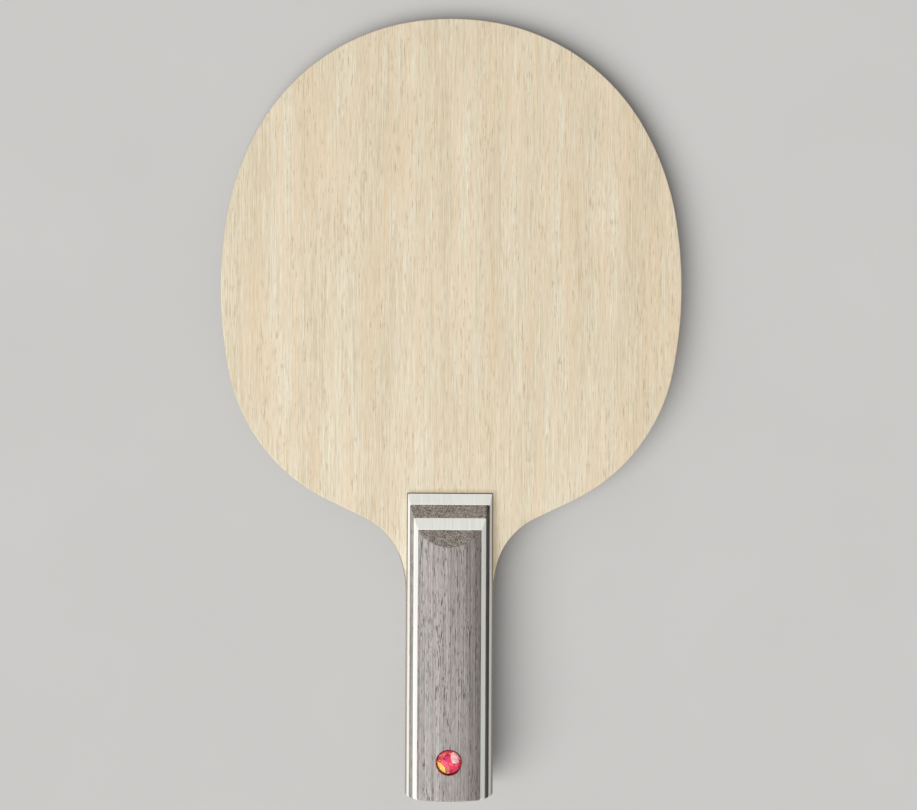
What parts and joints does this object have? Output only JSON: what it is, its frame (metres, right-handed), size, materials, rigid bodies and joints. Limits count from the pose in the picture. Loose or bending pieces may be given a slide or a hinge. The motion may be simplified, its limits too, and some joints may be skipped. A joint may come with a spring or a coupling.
{
  "type": "table tennis paddle",
  "caption": "Bare table tennis blade: oval laminated wooden head with a straight layered handle, ramped handle scales and a small domed badge near the butt.",
  "frame": {"origin": "centre of the paddle's box: on its centreline, half way between head tip and butt, at the middle of the blade's thickness to within half a millimetre", "axes": "+Y towards the head tip, +Z out of the front face that carries the badge, +X to the right of the front face with the head up"},
  "size_m": [0.1516, 0.2556, 0.023],
  "materials": {
    "koto_face_veneer": "bare, fine sanded",
    "woven_fibre": "resin-bonded weave",
    "medial_veneer": "bare",
    "core_wood": "bare",
    "dark_veneer": "dyed",
    "white_veneer": "dyed, satin lacquer",
    "grey_wood": "dyed, satin lacquer",
    "grey_cap_wood": "dyed, satin lacquer",
    "badge_metal": "anodised",
    "badge_foil": "iridescent foil",
    "badge_resin": "clear resin, polished"
  },
  "bodies": {
    "root": {"front_outer_ply": "koto_face_veneer", "front_fibre_ply": "woven_fibre", "front_medial_ply": "medial_veneer", "core_ply": "core_wood", "back_medial_ply": "medial_veneer", "back_fibre_ply": "woven_fibre", "back_outer_ply": "koto_face_veneer", "front_scale_base_veneer": "dark_veneer", "front_scale_lower_white_layer": "white_veneer", "front_scale_grey_layer": "grey_wood", "front_scale_upper_white_layer": "white_veneer", "front_scale_cap": "grey_cap_wood", "back_scale_base_veneer": "dark_veneer", "back_scale_lower_white_layer": "white_veneer", "back_scale_grey_layer": "grey_wood", "back_scale_upper_white_layer": "white_veneer", "back_scale_cap": "grey_cap_wood", "badge_cup": "badge_metal", "badge_foil": "badge_foil", "badge_dome": "badge_resin"}
  },
  "joints": []
}
